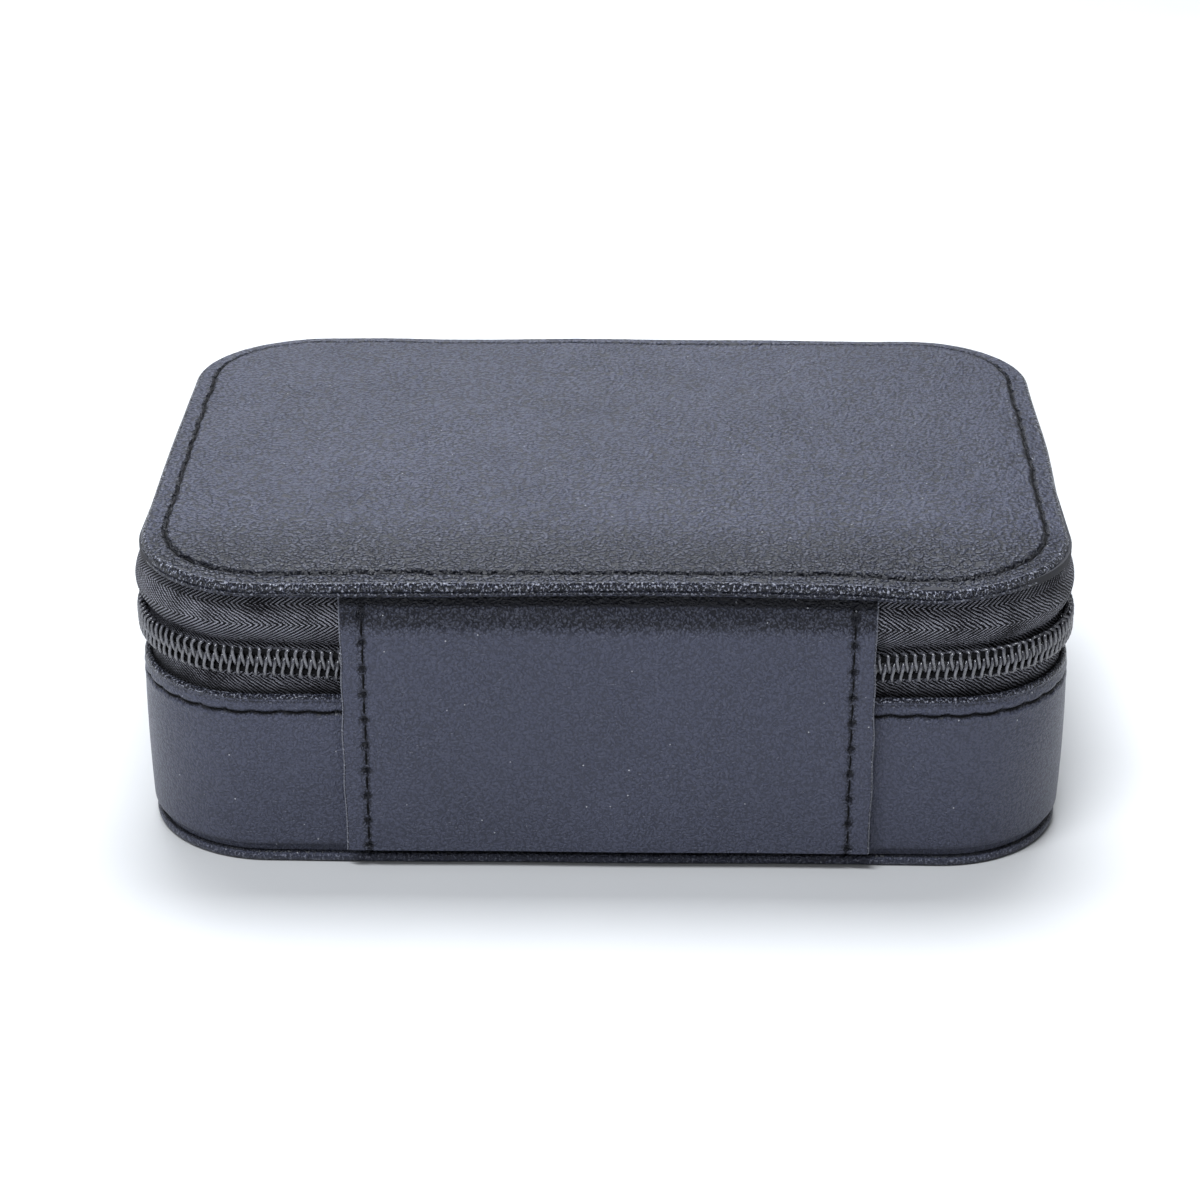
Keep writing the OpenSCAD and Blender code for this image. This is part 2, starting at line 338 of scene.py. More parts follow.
def leatherMaterial(name, look, coarse=1.0, gain=1.0):
    # pebbled grain of warped cells; the attribute read here is above 0 where the leather is crinkled
    # over an edge, with painted shade and painted highlights in the crinkles, past 1 where an edge is
    # painted pale as a highlight, below 0 where the leather is drawn tight and the grain stands out,
    # with painted shade and painted highlights on the grain tops, and below -1 in seams, holes, creases
    # and shadows, which painted shade darkens
    r = Recipe(name)
    point = r.objectPoint()
    warp = r.add("TexNoise", None, {"Vector": point, "Scale": 1500, "Detail": 1.0}, out=1)
    moved = r.add("VectorMath", {"operation": "MULTIPLY_ADD"},
                  {0: warp, 1: (0.0009, 0.0009, 0.0009), 2: point})
    cells = r.cells(moved, look["pebble"] / coarse)
    fine = r.noise(point, 5200, 1.0, 0.6)
    patches = r.noise(point, 95, 3.0, 0.55)
    broad = r.noise(point, 26, 2.0, 0.5)
    wearAndPaintedLight = r.add("Attribute", {"attribute_name": "wearAndPaintedLight"}, out="Fac")
    crinkleWithPaintedLight = wearAndPaintedLight.math("MAXIMUM", wearAndPaintedLight, 0.0)
    tautWithPaintedLight = r.range(wearAndPaintedLight, 0.0, -1.0)
    # below -1 the leather gets painted shade, for seams, holes, creases and shadows
    seam = r.range(wearAndPaintedLight, -1.1, -2.0, 0.0, 0.85)
    fold = r.add("Mapping", None, {"Vector": r.add("UVMap"), "Scale": (2300, 900, 1)})
    crinkle = r.range(r.noise(fold, 1.0, 2.0, 0.65), 0.34, 0.66)
    grain = r.range(cells, 0.22, 0.7, 1.0, 0.0)
    strength = r.range(patches, 0.36, 0.66, 0.85 * gain, gain) + tautWithPaintedLight * 0.75
    height = grain * strength + fine * 0.25 * gain + crinkleWithPaintedLight * crinkle * 1.5
    flat = r.mix(r.range(broad, 0.3, 0.7), look["shade"], look["colour"])
    # painted highlights on the grain tops where the grain stands out
    flat = r.mix(tautWithPaintedLight * r.range(grain, 0.5, 0.95, 0.0, 0.22), flat, look["paintedHighlightColour"])
    # painted shade: darker where the grain stands out, darker still below -1
    paintedShade = r.mix(tautWithPaintedLight * 0.54 + seam, flat, look["pit"])
    pitted = r.mix(r.range(grain, 0.0, 0.55, 0.92, 0.0) * strength, paintedShade, look["pit"])
    # painted shade in the crinkles' hollows
    paintedCrinkleShade = r.mix(crinkleWithPaintedLight * r.range(crinkle, 0.4, 0.7, 0.95, 0.0), pitted, look["pit"])
    # painted highlights on the crinkles' crests, and plain painted highlights on edges past 1
    paintedHighlights = r.mix(crinkleWithPaintedLight * r.range(crinkle, 0.66, 0.9, 0.0, 0.95), paintedCrinkleShade, look["paintedHighlightColour"])
    paintedHighlights = r.mix(r.range(wearAndPaintedLight, 1.1, 2.0, 0.0, 0.8), paintedHighlights, look["paintedHighlightColour"])
    chosen = r.add("SeparateColor", None, {0: r.cells(point, look["dustScale"], 1)})
    speck = 1 - r.cells(point, look["dustScale"]).above(look["dustSize"])
    dust = speck * chosen.above(look["dustShare"])
    colour = r.mix(dust * 0.7, paintedHighlights, look["dust"])
    rough = r.range(patches + grain * 0.4 + crinkleWithPaintedLight * 0.6 - tautWithPaintedLight * 0.2, 0.3, 1.3,
                    look["roughness"] + 0.1, look["roughness"] - 0.1)
    return r.finish(height, look["depth"] * coarse, {"IOR": 1.5, "Specular IOR Level": 0.38},
                    Base_Color=colour, Roughness=rough)


def threadMaterial():
    r = Recipe("waxedThread")
    point = r.objectPoint()
    strands = r.noise(point, 5200, 2.0, 0.6)
    colour = r.mix(r.range(strands, 0.35, 0.7), rgb(3, 3, 4), rgb(12, 12, 15))
    rough = r.range(strands, 0.3, 0.7, 0.55, 0.72)
    return r.finish(strands, 0.05 * mm, {"Specular IOR Level": 0.12}, Base_Color=colour,
                    Roughness=rough)


# dark is the painted shade in the weave's gaps and the tape's painted shadows, light the painted sheen
# on its threads
tapeLook = {"rib": 0.95 * mm, "band": 3.6 * mm, "thread": 0.8 * mm,
            "dark": rgb(4, 4, 6), "light": rgb(182, 182, 194)}


def tapeMaterial():
    # herringbone: slanted ribs that turn back at every band, cut into short threads; the weave
    # wanders, so the ribs are not ruled lines
    r = Recipe("herringboneTape")
    point = r.objectPoint()
    sway = r.noise(point, 420, 2.0, 0.6) * (0.9 * mm)
    weave = r.add("UVMap")
    both = r.axis(weave, 0) + sway
    across = r.axis(weave, 1) + sway * 0.6
    zigzag = across.fold(tapeLook["band"])
    ribs = ((both + zigzag * 1.5) * (math.pi / tapeLook["rib"])).sine().size()
    threads = ((both - zigzag * 2.6) * (math.pi / tapeLook["thread"])).sine().size()
    fuzz = r.noise(point, 3200, 2.0, 0.7)
    patch = r.noise(point, 190, 2.0, 0.5)
    height = ribs * (0.5 + threads * 0.5) * (0.55 + patch * 0.9)
    # painted sheen on the raised threads and painted shade in the gaps between them
    light = r.range(height + fuzz * 0.9, 0.95, 1.4)
    # painted shadow: darker where the tape goes in behind the rim and under the lid
    tall, low, high = r.axis(point, 2), sideHigh.z, lidLow.z
    paintedTapeShadow = (r.range(tall, low + 0.2 * mm, low + 2.0 * mm, 0.8, 0.0)
              + r.range(tall, high - 1.6 * mm, high - 0.2 * mm, 0.0, 0.8))
    colour = r.mix(paintedTapeShadow, r.mix(light, tapeLook["dark"], tapeLook["light"]), tapeLook["dark"])
    return r.finish(height + fuzz * 0.3, 0.5 * mm, {"Specular IOR Level": 0.15},
                    Base_Color=colour, Roughness=r.range(fuzz, 0.3, 0.7, 0.5, 0.7))


def coilMaterial():
    r = Recipe("nylonCoil")
    point = r.objectPoint()
    scuff = r.noise(point, 1500, 2.0, 0.5)
    colour = r.mix(r.range(scuff, 0.35, 0.7), rgb(54, 54, 59), rgb(98, 98, 106))
    return r.finish(scuff, 0.012 * mm, {"IOR": 1.6, "Specular IOR Level": 1.0}, Base_Color=colour,
                    Roughness=r.range(scuff, 0.3, 0.7, 0.22, 0.3))


def velvetMaterial(name, dark, light):
    r = Recipe(name)
    point = r.objectPoint()
    pile = r.noise(point, 5200, 2.0, 0.7)
    brushed = r.noise(point, 95, 3.0, 0.55)
    colour = r.mix(r.range(brushed * 0.65 + pile * 0.35, 0.35, 0.65), dark, light)
    return r.finish(pile + brushed * 0.8, 0.09 * mm,
                    {"Sheen Weight": 0.22, "Sheen Roughness": 0.4, "Specular IOR Level": 0.2},
                    Base_Color=colour, Roughness=r.range(pile, 0.3, 0.7, 0.82, 0.95))


def metalMaterial():
    r = Recipe("gunmetal")
    point = r.objectPoint()
    streak = r.noise(r.add("Mapping", None, {"Vector": point, "Scale": (1, 1, 9)}), 700, 2.0, 0.6)
    wearPatch = r.noise(point, 420, 3.0, 0.6)
    colour = r.mix(r.range(wearPatch, 0.3, 0.8), rgb(98, 98, 104), rgb(116, 116, 122))
    rough = r.range(streak * 0.8 + wearPatch * 0.2, 0.35, 0.65, 0.22, 0.32)
    return r.finish(streak, 0.006 * mm, {"Metallic": 1.0}, Base_Color=colour, Roughness=rough)


def mirrorMaterial():
    r = Recipe("mirrorGlass")
    smear = r.noise(r.objectPoint(), 60, 3.0, 0.6)
    colour = r.mix(smear, rgb(226, 231, 235), rgb(236, 240, 243))
    return r.finish(None, 0, {"Metallic": 1.0}, Base_Color=colour,
                    Roughness=r.range(smear, 0.4, 0.75, 0.015, 0.05))


def plainCardMaterial(name, dark, light, scale, depth):
    r = Recipe(name)
    fibre = r.noise(r.objectPoint(), scale, 3.0, 0.65)
    return r.finish(fibre, depth, {}, Base_Color=r.mix(r.range(fibre, 0.35, 0.65), dark, light),
                    Roughness=r.range(fibre, 0.3, 0.7, 0.75, 0.92))


print("making the materials")
leather = leatherMaterial("navyLeather", leatherLook, coarse=1.25, gain=1.15)
sideLeather = leatherMaterial("navyLeatherSide", leatherLook, coarse=0.85, gain=0.55)
frameLeather = leatherMaterial("navyLeatherFrame", leatherLook, coarse=0.8, gain=0.8)
thread = threadMaterial()
tape = tapeMaterial()
coilBlack = coilMaterial()
velvet = velvetMaterial("charcoalVelvet", rgb(30, 31, 38), rgb(52, 54, 64))
rollVelvet = velvetMaterial("ringRollVelvet", rgb(40, 42, 52), rgb(66, 69, 82))
metal = metalMaterial()
mirror = mirrorMaterial()
board = plainCardMaterial("greyBoard", rgb(34, 34, 38), rgb(48, 48, 54), 900, 0.05 * mm)
foam = plainCardMaterial("foamSheet", rgb(205, 203, 195), rgb(222, 220, 213), 2600, 0.12 * mm)
for node, finish in {"base_floor_board": board, "base_wall_board": board, "spine_backing": board,
                     "lid_board": board, "lid_inner_board": board, "base_wall_foam": foam,
                     "lid_foam": foam, "ring_roll_bed": velvet}.items():
    cover(frame["nodes"][node], finish)


stitch = {"pitch": 4.8 * mm, "gap": 0.35 * mm, "radius": 0.24 * mm, "inset": 4 * mm, "arch": 0.24 * mm,
          "rimZ": sum(c.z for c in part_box("base_rim_stitching")) / 2}


def stitchTubes(starts, at, side, seed):
    # one short thread per start: it rises from its hole, lies on the leather and dives again;
    # at gives the points for distances along the line, with how far they stand out
    rng = np.random.default_rng(seed)
    t = np.linspace(0, 1, 9)
    length = stitch["pitch"] - stitch["gap"]
    s = starts[:, None] + stitch["gap"] / 2 + length * t
    lift = stitch["radius"] * (1.3 * np.sin(np.pi * t) ** 0.5 - 1.25)
    sway = (rng.normal(0, 0.06 * mm, (len(starts), 1)) + (t - 0.5) * 0.2 * mm
            + stitch["arch"] * (np.sin(np.pi * t) - 0.5))
    path = at(s, np.broadcast_to(lift, s.shape), np.broadcast_to(sway, s.shape))
    radius = stitch["radius"] * np.clip(np.sin(np.pi * t), 0, 1) ** 0.25
    radius[[0, -1]] = 0
    return tube(path, np.broadcast_to(radius, s.shape), side, 7)


def pullIn(s, pitch):
    # 1 at a needle hole and 0 midway between holes
    return bell(np.mod(s + pitch / 2, pitch) - pitch / 2, 0.5 * mm)


def seamArch(s, pitch):
    # the seam line bows between two holes as its stitch does
    return stitch["arch"] * (np.sin(np.pi * np.mod(s, pitch) / pitch) - 0.5)


lidLook = {"sink": 0.25 * mm, "fall": 0.45 * mm, "bead": 0.46 * mm, "roll": 1.05 * mm, "puff": 0.7 * mm,
           "grooveWidth": 0.42 * mm, "grooveDepth": 0.6 * mm, "deep": 21 * mm, "step": 0.6 * mm,
           "drawIn": 0.02, "sag": 0.8 * mm, "sagAt": 54 * mm, "padColumns": 26, "rollColumns": 9}


def lidDroop(s, length):
    # the edge hangs a little lower in places, as hand-turned leather does
    return waves(s, length, 0.28 * mm, 12, 2, 9)


def seamDistance(s, inset, length):
    # distance from the lid's stitch line, above 0 inside it
    return (inset - stitch["inset"]
            - (waves(s, length, 0.12 * mm, 13, 20, 60) + seamArch(s, stitch["lidPitch"]))[:, None])


def lidTopHeight(s, inset, length):
    # flat leather that sinks at the stitch line, swells inside it and rolls down at the edge
    top = lidHigh.z - lidLook["sink"]
    fromLine = seamDistance(s, inset, length)
    groove = bell(fromLine, lidLook["grooveWidth"])
    hole = pullIn(s, stitch["lidPitch"])[:, None]
    lip = bell(np.abs(fromLine) - 0.8 * mm, 0.5 * mm) * (1 - hole)
    fall = lidLook["fall"] * np.clip(-fromLine / stitch["inset"], 0, 1) ** 0.8
    swell = lidLook["puff"] * (1 - np.exp(-np.clip(fromLine, 0, None) / (5 * mm)))
    out = np.clip(lidLook["roll"] - inset, 0, lidLook["roll"])
    roll = lidLook["roll"] - np.sqrt(lidLook["roll"] ** 2 - out ** 2)
    return (top + swell - fall - groove * lidLook["grooveDepth"] * (0.75 + 0.5 * hole)
            + lip * 0.12 * mm - roll)


def dents(points):
    # shallow dents and ripples in the padded top, as sines of place
    x, y = points[..., 0] / mm, points[..., 1] / mm
    return mm * (0.16 * np.sin(x / 17 + 0.6) * np.sin(y / 13 + 1.1) + 0.1 * np.sin(x / 9.5 - y / 12)
                 + 0.07 * np.sin(x / 6.1 + y / 7.7 + 2))


def drape(points):
    # the lid narrows by a fiftieth towards its spine side, where it is pulled over the zip,
    # and its edge sags beside one end of the spine
    toSpine = -points[..., 1]
    points[..., 0] *= 1 - lidLook["drawIn"] * ramp(toSpine, -24 * mm, 44 * mm) ** 1.2
    atSag = bell(points[..., 0] - lidLook["sagAt"], 8 * mm)
    points[..., 2] -= lidLook["sag"] * ramp(toSpine, 44 * mm, 55 * mm) * atSag
    return points


def makeLidCover():
    # the lid's skin from the middle of its top outwards: pad, stitched border, edge roll, wall,
    # bead and underside, carried round the outline
    count = int(outlineLength(lidShape) / stitch["pitch"])
    s, length = around(lidShape, lidLook["step"])
    stitch["lidPitch"] = length / count
    under, bead, roll = lidLow.z, lidLook["bead"], lidLook["roll"]
    rollInset = roll * (1 - np.sin(np.linspace(0, np.pi / 2, lidLook["rollColumns"])))
    topInset = np.concatenate([np.linspace(lidLook["deep"], 7 * mm, 12),
                               np.linspace(6.2 * mm, 2.6 * mm, 26), [1.9 * mm, 1.4 * mm], rollInset])
    inset = np.broadcast_to(topInset, (len(s), len(topInset)))
    z = lidTopHeight(s, inset, length)
    edgeZ = z[:, -1:]
    beadTop = under + 2 * bead
    wallZ = edgeZ + (beadTop + 0.1 * mm - edgeZ) * np.linspace(0.2, 1, 5)
    crease = np.array([[0.42 * mm, beadTop + 0.03 * mm]])
    lip = arc(0.34 * mm, under + bead, bead, 100, 258, 9)
    flat = np.array([[1.5 * mm, under], [8 * mm, under], [lidLook["deep"], under]])
    tail = np.concatenate([crease, lip, flat])
    wide = lambda row: np.broadcast_to(row, (len(s), len(row)))
    fullInset = np.concatenate([inset, wide([0, 0, 0, 0, 0.05 * mm]), wide(tail[:, 0])], 1)
    fullZ = np.concatenate([z, wallZ, wide(tail[:, 1])], 1)
    edgeShare = np.clip(1 - fullInset / (6 * mm), 0, 1)
    fullInset = fullInset + waves(s, length, 0.22 * mm, 11)[:, None] * edgeShare
    fullZ = fullZ + lidDroop(s, length)[:, None] * np.clip(1 - fullInset / (9 * mm), 0, 1)
    middleZ = lidTopHeight(s, np.full((len(s), 1), 40 * mm), length).mean() + 0.1 * mm
    points = closeIn(carry(lidShape, s, fullInset, fullZ), (0, lidShape["shiftY"], under), 5)
    points = openOut(points, (0, lidShape["shiftY"], middleZ), lidLook["padColumns"])
    topEnd = lidLook["padColumns"] + len(topInset)
    isTop = np.arange(points.shape[1]) < topEnd
    points[..., 2] += np.where(isTop, dents(points), 0)
    drape(points)
    wearAndPaintedLight = np.zeros(points.shape[1])
    firstEdge = topEnd - lidLook["rollColumns"]
    # the roll and wall are crinkled, with painted shade and painted highlights in the crinkles; the top
    # of the roll and the bead get painted highlights, and the crease above the bead painted shade
    wearAndPaintedLight[firstEdge + 2:firstEdge + 14] = 1
    wearAndPaintedLight[firstEdge + 1] = 1.5
    wearAndPaintedLight[firstEdge + 14] = -2.4
    wearAndPaintedLight[firstEdge + 17:firstEdge + 20] = 1.35
    wearAndPaintedLight = np.convolve(wearAndPaintedLight, [0.25, 0.5, 0.25], "same")
    wearAndPaintedLight = np.broadcast_to(wearAndPaintedLight, points.shape[:2]).copy()
    # the padded top shows more grain towards the spine side, with painted shade there
    wearAndPaintedLight -= np.where(isTop, ramp(-points[..., 1], 34 * mm, 50 * mm), 0) * (wearAndPaintedLight <= 0)
    # painted shade in the stitch groove
    wearAndPaintedLight[:, lidLook["padColumns"]:topEnd] -= 3.6 * bell(seamDistance(s, inset, length), 0.42 * mm)
    uv = (np.append(s, length), np.arange(points.shape[1]) * 0.4 * mm)
    piece = surface("lidCover", points, True, False, uv, wearAndPaintedLight, sharp=60)
    place(piece, "lid", "leather", leather, "lid_top_cover")

    def at(sv, lift, sway):
        xy, normal = outlineAt(lidShape, sv)
        flatInset = stitch["inset"] + sway + waves(sv, length, 0.12 * mm, 13, 20, 60)
        xy = xy - normal * flatInset[..., None]
        z = (lidHigh.z - lidLook["sink"] - lidLook["grooveDepth"] * 0.72 + lift
             + lidDroop(sv, length) * 0.55)
        p = np.concatenate([xy, z[..., None]], -1)
        p[..., 2] += dents(p)
        return drape(p)

    rows = stitchTubes(np.arange(count) * stitch["lidPitch"], at, (0, 0, 1.0), 21)
    place(surface("lidStitches", rows, False, True), "lid", "thread", thread, "lid_stitching")


baseLook = {"thick": 0.9 * mm, "hem": 1.2 * mm, "step": 0.6 * mm, "bulge": 0.32 * mm,
            "wander": 0.18 * mm}


def baseWander(s, z, length):
    # the rim goes up and down a little, and the foot hardly at all
    return waves(s, length, baseLook["wander"], 31, 2, 10) * ramp(z, sideLow.z, sideHigh.z) ** 2


def baseBulge(s, z, length):
    # the padded wall swells a little halfway up
    soft = baseLook["bulge"] + waves(s, length, 0.14 * mm, 32, 3, 12)
    return np.sin(np.pi * ramp(z, sideLow.z, sideHigh.z)) ** 0.8 * soft


def makeBaseSide():
    # the side's skin carried round the case: up the wall, over the hem and back down inside
    s, length = around(case, baseLook["step"])
    top, foot, hem = sideHigh.z, sideLow.z, baseLook["hem"]
    seamZ = stitch["rimZ"]
    outerZ = np.concatenate([np.linspace(foot + 0.5 * mm, seamZ - 2 * mm, 22),
                             np.linspace(seamZ - 1.8 * mm, seamZ + 1.6 * mm, 17),
                             np.linspace(seamZ + 1.9 * mm, top - 0.65 * mm, 4)])
    fold = arc(hem / 2, top - hem / 2, hem / 2, 172, 8, 11)
    hemEnd = np.array([[hem, top - 3 * mm], [hem, top - 5 * mm], [baseLook["thick"], top - 5.2 * mm]])
    inner = np.array([[baseLook["thick"], foot + 1 * mm]])
    half = baseLook["thick"] / 2
    turned = arc(half, foot + half, half, 0, -180, 7)
    tail = np.concatenate([fold, hemEnd, inner, turned])
    z = np.tile(np.concatenate([outerZ, tail[:, 1]]), (len(s), 1))
    inset = np.tile(np.concatenate([np.zeros(len(outerZ)), tail[:, 0]]), (len(s), 1))
    outer = np.arange(z.shape[1]) < len(outerZ)
    fromLine = z - seamZ + seamArch(s, stitch["pitch"])[:, None]
    hole = pullIn(s, stitch["pitch"])[:, None]
    groove = bell(fromLine, 0.42 * mm) * (0.4 + 0.3 * hole) * mm
    lip = bell(np.abs(fromLine) - 0.9 * mm, 0.55 * mm) * (1 - hole) * 0.1 * mm
    inset += np.where(outer, groove - lip - baseBulge(s[:, None], z, length), 0)
    z += baseWander(s[:, None], z, length)
    marks = np.zeros(z.shape[1])
    # the fold over the hem is crinkled, with painted shade and painted highlights in the crinkles, and
    # a line just below it is darker
    marks[len(outerZ) - 1:len(outerZ) + 12] = 1
    marks[len(outerZ) - 3] = -1.3
    marks = np.convolve(marks, [0.25, 0.5, 0.25], "same")
    # painted shade in the stitch groove
    marks = marks - np.where(outer, 2.6 * bell(fromLine, 0.3 * mm), 0)
    points = carry(case, s, inset, z)
    uv = (np.append(s, length), np.arange(z.shape[1] + 1) * 0.4 * mm)
    piece = surface("baseSide", points, True, True, uv, marks, sharp=60)
    place(piece, "base", "leather", sideLeather, "base_side_cover")

    def at(sv, lift, sway):
        xy, normal = outlineAt(case, sv)
        xy = xy + normal * (baseBulge(sv, seamZ, length) - 0.4 * mm + lift)[..., None]
        z = seamZ - sway + baseWander(sv, seamZ, length)
        return np.concatenate([xy, z[..., None]], -1)

    starts = np.arange(int(length / stitch["pitch"])) * stitch["pitch"]
    starts = starts[(starts > spineHalf - 2 * mm) & (starts < length - spineHalf - 2 * mm)]
    rows = stitchTubes(starts, at, (0, 0, 1.0), 22)
    place(surface("baseStitches", rows, False, True), "base", "thread", thread, "base_rim_stitching")


bottomLook = {"lowered": 0.5 * mm, "slit": 1.6 * mm}


def makeBottomPanel():
    # a round-edged leather plate with a slit left open between it and the side
    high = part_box("base_bottom_cover")[1]
    shape = insideCase(high)
    s, length = around(shape, 1.2 * mm)
    top = high.z - bottomLook["lowered"]
    r, above = top / 2, top + bottomLook["slit"]
    under = np.array([[20 * mm, 0], [10 * mm, 0], [3 * mm, 0], [1.6 * mm, 0.02 * mm]])
    side = arc(r, r, r, 262, 98, 11)
    inner = np.array([[0.8 * mm, top], [0.85 * mm, above], [8 * mm, above], [20 * mm, above]])
    profile = np.concatenate([under, side, inner])
    inset = profile[:, 0] + waves(s, length, 0.12 * mm, 41)[:, None] * np.exp(-profile[:, 0] / (4 * mm))
    points = closeIn(carry(shape, s, inset, profile[:, 1]), (0, 0, above), 5)
    points = openOut(points, (0, 0, 0), 5)
    marks = np.zeros(points.shape[1])
    # the rounded edge is crinkled, with painted shade and painted highlights in the crinkles, and its
    # top, where it turns into the slit, gets painted shade
    marks[9:17] = 0.4
    marks[17:20] = -1.5
    uv = (np.append(s, length), np.arange(points.shape[1]) * 0.5 * mm)
    piece = surface("bottomPanel", points, True, False, uv, marks, sharp=60)
    place(piece, "base", "leather", sideLeather, "base_bottom_cover")


spineLook = {"thick": 0.9 * mm, "seam": 3.8 * mm, "lean": 2.0 * mm, "leanFrom": 44.8 * mm,
             "crease": 47.6 * mm, "bend": 47.2 * mm, "groove": 0.25 * mm, "pit": 0.55 * mm}


def spineLean(z):
    # how far the panel is drawn in where it goes up under the lid
    return spineLook["lean"] * ramp(z, spineLook["leanFrom"], lidLow.z) ** 1.5


def spineFace(x, z):
    # how far the panel stands from the case, at a distance x from its own middle
    swell = (0.35 * mm * np.cos(np.pi * np.clip(x / spineHalf, -1, 1) / 2)
             * np.sin(np.pi * ramp(z, spineLow.z, lidLow.z)))
    ripple = 0.1 * mm * np.sin(x / (7 * mm) + 1) * np.sin(z / (5 * mm))
    crease = 0.1 * mm * np.sin(z / (0.75 * mm) + 1.5 * np.sin(x / (11 * mm)))
    crease = crease * bell(z - spineLook["crease"], 2.6 * mm)
    return swell + ripple + crease - spineLean(z)


def makeSpine():
    # rings round the panel's section, one above the other, from the foot to under the lid
    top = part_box("spine_panel_upper")[1].z
    half, thick, inner = spineHalf, spineLook["thick"], spineHigh.y
    z = np.linspace(spineLow.z, top, 130)
    roundEdge = 0.42 * mm
    across = np.linspace(-half + roundEdge, half - roundEdge, 150)
    edge = np.linspace(0, np.pi, 7)[1:-1]
    rightX = half - roundEdge + roundEdge * np.sin(edge)
    rightOut = thick / 2 * (1 + np.cos(edge))
    ringX = np.concatenate([across, rightX, across[::-1], -rightX])
    ringOut = np.concatenate([np.full(len(across), thick), rightOut, np.zeros(len(across)),
                              rightOut[::-1]])
    x = np.broadcast_to(ringX, (len(z), len(ringX)))
    seam = np.abs(np.abs(x) - (half - spineLook["seam"]))
    groove = bell(seam, 0.36 * mm)
    pit = bell(seam, 0.62 * mm) * pullIn(z, stitch["pitch"])[:, None]
    isFront = ringOut > thick * 0.9
    out = ringOut + spineFace(x, z[:, None]) - np.where(
        isFront, groove * spineLook["groove"] + pit * spineLook["pit"], 0)
    # the raw side edges wander slightly
    shift = np.sign(x) * waves(z, top, 0.16 * mm, 51, 1, 7)[:, None] * (np.abs(x) > half - 2 * mm)
    points = np.stack([x + shift + spineMiddle, inner - out, np.broadcast_to(z[:, None], x.shape)], -1)
    # the band under the lid shows more grain and gets painted shade, its top a deeper painted shadow
    # from the lid, and the raw side edges get a painted highlight
    bend = bell(np.clip(spineLook["bend"] - z, 0, None), 1.6 * mm)[:, None]
    paintedEdgeHighlight = bell(half - np.abs(x), 0.4 * mm)
    paintedLidShadow = ramp(z, lidLow.z - 2.4 * mm, lidLow.z - 1.6 * mm)[:, None]
    marks = np.where(paintedEdgeHighlight > 0.62, 1.1 + 0.8 * paintedEdgeHighlight, -bend * (1 - paintedLidShadow) - 1.95 * paintedLidShadow)
    # painted shade in the stitch holes and the seam groove
    marks = marks - np.where(isFront, 2.4 * pit + 1.2 * groove, 0)
    uv = (z, np.append(ringX, ringX[0]))
    piece = surface("spinePanel", points, False, True, uv, marks, caps=True, sharp=55)
    place(piece, None, "leather", sideLeather, "spine_panel_lower", "spine_panel_upper")
    bendAtHinge(piece)

    starts = np.arange(1, 20) * stitch["pitch"]
    starts = starts[(starts > spineLow.z + 0.5 * mm) & (starts < top - stitch["pitch"])]
    rows = []
    for side in (-1, 1):
        def at(sv, lift, sway):
            x = side * (half - spineLook["seam"]) + sway * 0.5
            y = inner - (thick + spineFace(x, sv) - 0.3 * mm + lift)
            return np.stack([x + spineMiddle, y, sv], -1)
        rows.append(stitchTubes(starts, at, (0, 1.0, 0), 23 + side))
    stitches = surface("spineStitches", np.concatenate(rows), False, True)
    place(stitches, None, "thread", thread, "spine_stitching")
    bendAtHinge(stitches)


zipLook = {"pitch": 1.48 * mm, "wire": 0.3 * mm, "overlap": 0.8 * mm, "middle": 0.1 * mm,
           "perTurn": 20, "square": 0.72, "sag": 0.9 * mm, "tapeThick": 0.55 * mm, "core": 0.62 * mm,
           "tapeEnd": -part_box("spine_lining_lower")[0].x + 0.4 * mm, "coilEnd": 41 * mm}


def zipRun(endX, step):
    # distances along the case outline from one end of the zip to the other
    length = outlineLength(case)
    count = int((length - 2 * endX) / step)
    return np.linspace(endX, length - endX, count), length


def zipSag(s, length):
    # beside the spine the chain hangs a little lower
    fromSpine = np.minimum(s, length - s)
    return -zipLook["sag"] * bell(np.clip(fromSpine - zipLook["coilEnd"], 0, None), 13 * mm)


def makeTape(name, body, node, insets, heights):
    # a strip carried along the case, loose between its edges and lower beside the spine
    s, length = zipRun(zipLook["tapeEnd"], 0.8 * mm)
    flat = np.concatenate([insets, insets[::-1] + zipLook["tapeThick"]])
    z = np.concatenate([heights, heights[::-1]])
    loose = waves(s, length, 0.22 * mm, 61 + len(node), 4, 22)[:, None]
    u = flat + loose * np.sin(np.pi * ramp(z, z.min(), z.max()))
    points = carry(case, s, u, z + zipSag(s, length)[:, None] * bell(z - hingeZ, 6 * mm))
    run = np.concatenate([[0], np.cumsum(np.hypot(np.diff(flat), np.diff(z)))])
    piece = surface(name, points, False, True, (s, np.append(run, run[-1])), None, caps=True, sharp=60)
    place(piece, body, "zip_tape", tape, node)


def makeTapes():
    # each tape as inset from the case outline against height; the lid's one bows outwards
    z = np.linspace(hingeZ + 0.45 * mm, lidLow.z + 0.1 * mm, 26)
    bow = np.sin(np.pi * ramp(z, hingeZ + 3.2 * mm, lidLow.z) ** 0.8)
    makeTape("lidTape", "lid", "lid_zip_tape", 1.3 * mm - 1.9 * mm * bow, z)
    z = np.linspace(tapeLow.z, hingeZ - 0.45 * mm, 18)
    makeTape("baseTape", "base", "base_zip_tape", np.full(18, 1.3 * mm), z)


